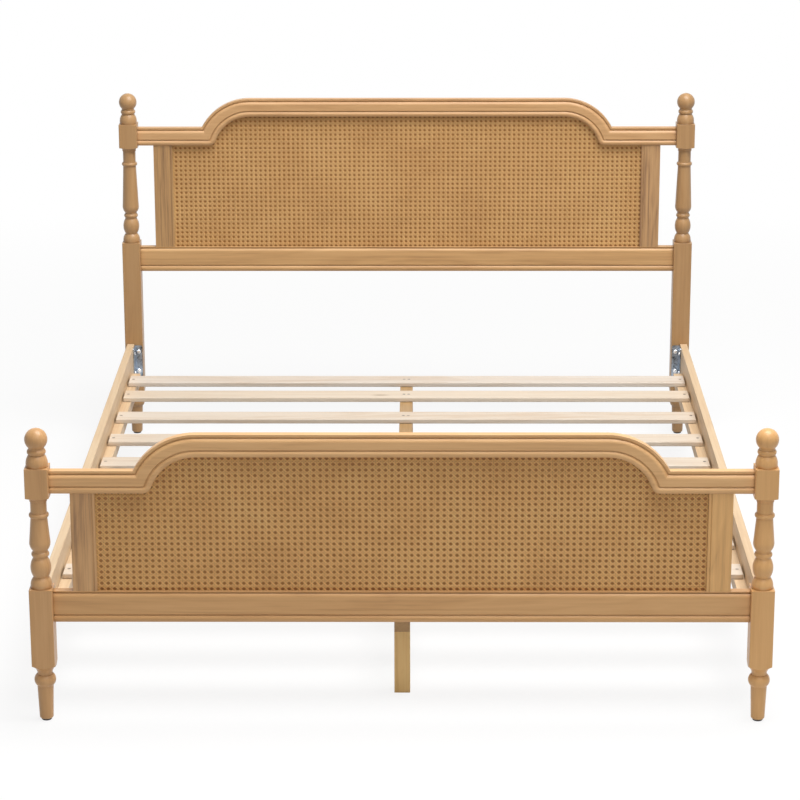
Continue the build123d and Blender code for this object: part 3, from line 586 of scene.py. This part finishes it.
def add_floor():
    """A white floor that keeps the bed's shadow and fades to plain white around it."""
    mesh = bpy.data.meshes.new("floor")
    signs = ((-1, -1), (1, -1), (1, 1), (-1, 1))
    corners = [(sx * FLOOR_REACH, sy * FLOOR_REACH, 0.0) for sx, sy in signs]
    mesh.from_pydata(corners, [], [(0, 1, 2, 3)])
    floor = bpy.data.objects.new("floor", mesh)
    scene.collection.objects.link(floor)
    material = bpy.data.materials.new("floor_white")
    material.use_nodes = True
    tree = material.node_tree
    tree.nodes.clear()
    output = tree.nodes.new("ShaderNodeOutputMaterial")
    bounce = node_of(tree, "ShaderNodeBsdfDiffuse", Color=(*FLOOR_BOUNCE, 1.0))
    pale = node_of(tree, "ShaderNodeBsdfDiffuse", Color=(*FLOOR_PALE, 1.0))
    plain = node_of(tree, "ShaderNodeEmission", Color=(*WHITE, 1.0), Strength=1.0)
    place = tree.nodes.new("ShaderNodeTexCoord")
    distance = node_of(tree, "ShaderNodeVectorMath", operation="LENGTH")
    tree.links.new(place.outputs["Object"], distance.inputs[0])
    share = ranged(
        tree, distance.outputs["Value"], FLOOR_NEAR, FLOOR_FAR, FLOOR_WHITE_NEAR, FLOOR_WHITE_FAR
    )
    shown = either(tree, share, pale, plain)
    whole = either(tree, seen_or_mirrored(tree), bounce, shown)
    tree.links.new(whole.outputs["Shader"], output.inputs["Surface"])
    mesh.materials.append(material)


def add_world():
    """A soft even light, and plain white wherever the world is seen or mirrored."""
    world = bpy.data.worlds.new("studio")
    scene.world = world
    world.use_nodes = True
    tree = world.node_tree
    tree.nodes.clear()
    output = tree.nodes.new("ShaderNodeOutputWorld")
    soft = node_of(
        tree, "ShaderNodeBackground", Color=(*WORLD_LIGHT, 1.0), Strength=WORLD_STRENGTH
    )
    plain = node_of(tree, "ShaderNodeBackground", Color=(*WHITE, 1.0), Strength=1.0)
    whole = either(tree, seen_or_mirrored(tree), soft, plain)
    tree.links.new(whole.outputs["Shader"], output.inputs["Surface"])


def add_soft_box(name, place, target, size, power):
    """A square lamp that looks at a point."""
    data = bpy.data.lights.new(name, "AREA")
    data.shape = "SQUARE"
    data.size = size
    data.energy = power
    light = bpy.data.objects.new(name, data)
    scene.collection.objects.link(light)
    light.location = place
    light.rotation_euler = (Vector(target) - Vector(place)).to_track_quat("-Z", "Y").to_euler()


def add_camera():
    """The photograph's camera, from its place and its three angles."""
    pitch, yaw, roll = (math.radians(a) for a in (CAMERA_PITCH, CAMERA_YAW, CAMERA_ROLL))
    ahead = Vector(
        (math.sin(yaw) * math.cos(pitch), math.cos(yaw) * math.cos(pitch), -math.sin(pitch))
    )
    level = Vector((math.cos(yaw), -math.sin(yaw), 0.0))
    upright = level.cross(ahead)
    right = level * math.cos(roll) + upright * math.sin(roll)
    up = upright * math.cos(roll) - level * math.sin(roll)
    turn = Matrix((right, up, -ahead)).transposed()
    data = bpy.data.cameras.new("camera")
    data.lens = CAMERA_LENS
    data.sensor_width = CAMERA_SENSOR
    data.clip_end = CAMERA_FAR
    camera = bpy.data.objects.new("camera", data)
    scene.collection.objects.link(camera)
    camera.matrix_world = Matrix.Translation(CAMERA_PLACE) @ turn.to_4x4()
    scene.camera = camera


paint_pieces()
add_cane("foot")
add_cane("head")
add_floor()
add_world()
for soft_box in SOFT_BOXES:
    add_soft_box(*soft_box)
add_camera()
